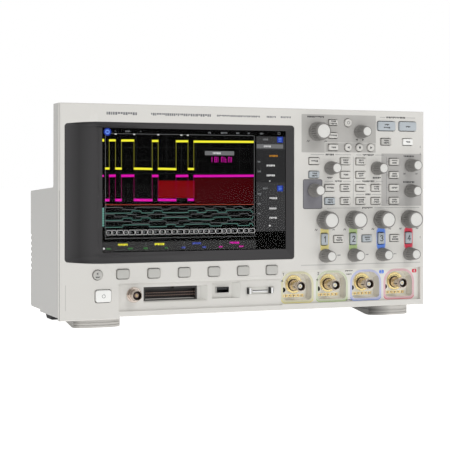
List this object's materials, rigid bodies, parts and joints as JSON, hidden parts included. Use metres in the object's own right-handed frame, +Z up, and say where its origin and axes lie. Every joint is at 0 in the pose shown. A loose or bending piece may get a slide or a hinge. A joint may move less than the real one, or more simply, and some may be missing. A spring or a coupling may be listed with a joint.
{
  "type": "oscilloscope",
  "caption": "Bench oscilloscope with a colour touch display, turning knobs, sprung keys, gold bayonet inputs, folding tilt legs and a swinging rear handle.",
  "frame": {"origin": "under the middle of the instrument, on the surface that it stands on", "axes": "+X along the width, +Y from the front panel to the rear, +Z up"},
  "size_m": [0.381, 0.142, 0.206],
  "materials": {
    "panel": "fine matt moulding",
    "case": "fine matt moulding",
    "surround": "satin dark grey moulding",
    "glass": "smooth touch glass",
    "lcd": "black plastic",
    "sheet_metal": "plated sheet steel",
    "circuit_board": "solder mask over glass fibre",
    "encoder_body": "black plastic",
    "gold_brass": "gold plated brass",
    "nickel": "nickel plated",
    "foot": "matt moulding with ribs",
    "rubber": "black rubber",
    "handle_plastic": "matt moulding",
    "knob": "soft grey moulding with a pale face",
    "grey_key": "satin moulding",
    "white_key": "satin moulding",
    "lit_key": "translucent moulding",
    "pale_key": "satin moulding"
  },
  "bodies": {
    "instrument": {"front_panel": "panel", "rear_case": "case", "display_surround": "surround", "touch_glass": "glass", "lcd_module": "lcd", "chassis": "sheet_metal", "main_board": "circuit_board", "keypad_board": "circuit_board", "encoders": "encoder_body", "power_supply": "circuit_board", "fan_housing": "lcd", "input_connectors": "gold_brass", "input_bay": "panel", "bnc_connectors": "nickel", "logic_connector": "lcd", "usb_ports": "sheet_metal", "demo_terminals": "sheet_metal", "front_feet": "foot", "rear_feet": "rubber", "mains_inlet": "lcd", "option_cover": "case", "case_screws": "sheet_metal"},
    "horizontal_scale_knob": {"horizontal_scale_knob": "knob"},
    "horizontal_position_knob": {"horizontal_position_knob": "knob"},
    "entry_knob": {"entry_knob": "knob"},
    "trigger_level_knob": {"trigger_level_knob": "knob"},
    "cursors_knob": {"cursors_knob": "knob"},
    "source_scale_knob": {"source_scale_knob": "knob"},
    "source_position_knob": {"source_position_knob": "knob"},
    "vertical_scale_knob_1": {"vertical_scale_knob_1": "knob"},
    "vertical_scale_knob_2": {"vertical_scale_knob_2": "knob"},
    "vertical_scale_knob_3": {"vertical_scale_knob_3": "knob"},
    "vertical_scale_knob_4": {"vertical_scale_knob_4": "knob"},
    "vertical_position_knob_1": {"vertical_position_knob_1": "knob"},
    "vertical_position_knob_2": {"vertical_position_knob_2": "knob"},
    "vertical_position_knob_3": {"vertical_position_knob_3": "knob"},
    "vertical_position_knob_4": {"vertical_position_knob_4": "knob"},
    "power_key": {"power_key": "white_key"},
    "back_key": {"back_key": "white_key"},
    "run_stop_key": {"run_stop_key": "lit_key"},
    "single_key": {"single_key": "lit_key"},
    "default_setup_key": {"default_setup_key": "grey_key"},
    "auto_scale_key": {"auto_scale_key": "white_key"},
    "softkey_1": {"softkey_1": "grey_key"},
    "softkey_2": {"softkey_2": "grey_key"},
    "softkey_3": {"softkey_3": "grey_key"},
    "softkey_4": {"softkey_4": "grey_key"},
    "softkey_5": {"softkey_5": "grey_key"},
    "softkey_6": {"softkey_6": "grey_key"},
    "channel_key_1": {"channel_key_1": "lit_key"},
    "channel_key_2": {"channel_key_2": "lit_key"},
    "channel_key_3": {"channel_key_3": "lit_key"},
    "channel_key_4": {"channel_key_4": "lit_key"},
    "horizontal_keys": {"horizontal_keys": "pale_key"},
    "trigger_keys": {"trigger_keys": "pale_key"},
    "menu_keys": {"menu_keys": "pale_key"},
    "handle": {"handle": "handle_plastic"},
    "tilt_leg_left": {"tilt_leg_left": "foot"},
    "tilt_leg_right": {"tilt_leg_right": "foot"},
    "fan_rotor": {"fan_rotor": "lcd"}
  },
  "joints": [
    {"name": "horizontal_scale_knob_turn", "type": "hinge", "parent": "instrument", "child": "horizontal_scale_knob", "pos_m": [0.069, -0.0555, 0.1838], "axis": [0, -1, 0], "continuous": true},
    {"name": "horizontal_position_knob_turn", "type": "hinge", "parent": "instrument", "child": "horizontal_position_knob", "pos_m": [0.117, -0.0555, 0.1843], "axis": [0, -1, 0], "continuous": true},
    {"name": "entry_knob_turn", "type": "hinge", "parent": "instrument", "child": "entry_knob", "pos_m": [0.0654, -0.0555, 0.1258], "axis": [0, -1, 0], "continuous": true},
    {"name": "trigger_level_knob_turn", "type": "hinge", "parent": "instrument", "child": "trigger_level_knob", "pos_m": [0.0836, -0.0555, 0.1479], "axis": [0, -1, 0], "continuous": true},
    {"name": "cursors_knob_turn", "type": "hinge", "parent": "instrument", "child": "cursors_knob", "pos_m": [0.1357, -0.0555, 0.1479], "axis": [0, -1, 0], "continuous": true},
    {"name": "source_scale_knob_turn", "type": "hinge", "parent": "instrument", "child": "source_scale_knob", "pos_m": [0.175, -0.0555, 0.1511], "axis": [0, -1, 0], "continuous": true},
    {"name": "source_position_knob_turn", "type": "hinge", "parent": "instrument", "child": "source_position_knob", "pos_m": [0.1746, -0.0555, 0.1252], "axis": [0, -1, 0], "continuous": true},
    {"name": "vertical_scale_knob_1_turn", "type": "hinge", "parent": "instrument", "child": "vertical_scale_knob_1", "pos_m": [0.07775, -0.0555, 0.0965], "axis": [0, -1, 0], "continuous": true},
    {"name": "vertical_scale_knob_2_turn", "type": "hinge", "parent": "instrument", "child": "vertical_scale_knob_2", "pos_m": [0.1095, -0.0555, 0.0965], "axis": [0, -1, 0], "continuous": true},
    {"name": "vertical_scale_knob_3_turn", "type": "hinge", "parent": "instrument", "child": "vertical_scale_knob_3", "pos_m": [0.14125, -0.0555, 0.0965], "axis": [0, -1, 0], "continuous": true},
    {"name": "vertical_scale_knob_4_turn", "type": "hinge", "parent": "instrument", "child": "vertical_scale_knob_4", "pos_m": [0.173, -0.0555, 0.0965], "axis": [0, -1, 0], "continuous": true},
    {"name": "vertical_position_knob_1_turn", "type": "hinge", "parent": "instrument", "child": "vertical_position_knob_1", "pos_m": [0.07775, -0.0555, 0.0614], "axis": [0, -1, 0], "continuous": true},
    {"name": "vertical_position_knob_2_turn", "type": "hinge", "parent": "instrument", "child": "vertical_position_knob_2", "pos_m": [0.1095, -0.0555, 0.0614], "axis": [0, -1, 0], "continuous": true},
    {"name": "vertical_position_knob_3_turn", "type": "hinge", "parent": "instrument", "child": "vertical_position_knob_3", "pos_m": [0.14125, -0.0555, 0.0614], "axis": [0, -1, 0], "continuous": true},
    {"name": "vertical_position_knob_4_turn", "type": "hinge", "parent": "instrument", "child": "vertical_position_knob_4", "pos_m": [0.173, -0.0555, 0.0614], "axis": [0, -1, 0], "continuous": true},
    {"name": "power_key_press", "type": "slide", "parent": "instrument", "child": "power_key", "axis": [0, 1, 0], "range_m": [0, 0.001], "stiffness_N_per_m": 300, "springref_m": -0.001},
    {"name": "back_key_press", "type": "slide", "parent": "instrument", "child": "back_key", "axis": [0, 1, 0], "range_m": [0, 0.001], "stiffness_N_per_m": 300, "springref_m": -0.001},
    {"name": "run_stop_key_press", "type": "slide", "parent": "instrument", "child": "run_stop_key", "axis": [0, 1, 0], "range_m": [0, 0.001], "stiffness_N_per_m": 300, "springref_m": -0.001},
    {"name": "single_key_press", "type": "slide", "parent": "instrument", "child": "single_key", "axis": [0, 1, 0], "range_m": [0, 0.001], "stiffness_N_per_m": 300, "springref_m": -0.001},
    {"name": "default_setup_key_press", "type": "slide", "parent": "instrument", "child": "default_setup_key", "axis": [0, 1, 0], "range_m": [0, 0.001], "stiffness_N_per_m": 300, "springref_m": -0.001},
    {"name": "auto_scale_key_press", "type": "slide", "parent": "instrument", "child": "auto_scale_key", "axis": [0, 1, 0], "range_m": [0, 0.001], "stiffness_N_per_m": 300, "springref_m": -0.001},
    {"name": "softkey_1_press", "type": "slide", "parent": "instrument", "child": "softkey_1", "axis": [0, 1, 0], "range_m": [0, 0.001], "stiffness_N_per_m": 300, "springref_m": -0.001},
    {"name": "softkey_2_press", "type": "slide", "parent": "instrument", "child": "softkey_2", "axis": [0, 1, 0], "range_m": [0, 0.001], "stiffness_N_per_m": 300, "springref_m": -0.001},
    {"name": "softkey_3_press", "type": "slide", "parent": "instrument", "child": "softkey_3", "axis": [0, 1, 0], "range_m": [0, 0.001], "stiffness_N_per_m": 300, "springref_m": -0.001},
    {"name": "softkey_4_press", "type": "slide", "parent": "instrument", "child": "softkey_4", "axis": [0, 1, 0], "range_m": [0, 0.001], "stiffness_N_per_m": 300, "springref_m": -0.001},
    {"name": "softkey_5_press", "type": "slide", "parent": "instrument", "child": "softkey_5", "axis": [0, 1, 0], "range_m": [0, 0.001], "stiffness_N_per_m": 300, "springref_m": -0.001},
    {"name": "softkey_6_press", "type": "slide", "parent": "instrument", "child": "softkey_6", "axis": [0, 1, 0], "range_m": [0, 0.001], "stiffness_N_per_m": 300, "springref_m": -0.001},
    {"name": "channel_key_1_press", "type": "slide", "parent": "instrument", "child": "channel_key_1", "axis": [0, 1, 0], "range_m": [0, 0.001], "stiffness_N_per_m": 300, "springref_m": -0.001},
    {"name": "channel_key_2_press", "type": "slide", "parent": "instrument", "child": "channel_key_2", "axis": [0, 1, 0], "range_m": [0, 0.001], "stiffness_N_per_m": 300, "springref_m": -0.001},
    {"name": "channel_key_3_press", "type": "slide", "parent": "instrument", "child": "channel_key_3", "axis": [0, 1, 0], "range_m": [0, 0.001], "stiffness_N_per_m": 300, "springref_m": -0.001},
    {"name": "channel_key_4_press", "type": "slide", "parent": "instrument", "child": "channel_key_4", "axis": [0, 1, 0], "range_m": [0, 0.001], "stiffness_N_per_m": 300, "springref_m": -0.001},
    {"name": "horizontal_keys_press", "type": "slide", "parent": "instrument", "child": "horizontal_keys", "axis": [0, 1, 0], "range_m": [0, 0.001], "stiffness_N_per_m": 2100, "springref_m": -0.001},
    {"name": "trigger_keys_press", "type": "slide", "parent": "instrument", "child": "trigger_keys", "axis": [0, 1, 0], "range_m": [0, 0.001], "stiffness_N_per_m": 1200, "springref_m": -0.001},
    {"name": "menu_keys_press", "type": "slide", "parent": "instrument", "child": "menu_keys", "axis": [0, 1, 0], "range_m": [0, 0.001], "stiffness_N_per_m": 5100, "springref_m": -0.001},
    {"name": "handle_swing", "type": "hinge", "parent": "instrument", "child": "handle", "pos_m": [0, -0.0255, 0.191], "axis": [1, 0, 0], "range_deg": [0, 180]},
    {"name": "tilt_leg_left_fold", "type": "hinge", "parent": "instrument", "child": "tilt_leg_left", "pos_m": [-0.1535, -0.0435, 0.0034], "axis": [1, 0, 0], "range_deg": [-100, 0]},
    {"name": "tilt_leg_right_fold", "type": "hinge", "parent": "instrument", "child": "tilt_leg_right", "pos_m": [0.1535, -0.0435, 0.0034], "axis": [1, 0, 0], "range_deg": [-100, 0]},
    {"name": "fan_spin", "type": "hinge", "parent": "instrument", "child": "fan_rotor", "pos_m": [0.12, 0.0479, 0.068], "axis": [0, 1, 0], "continuous": true}
  ]
}
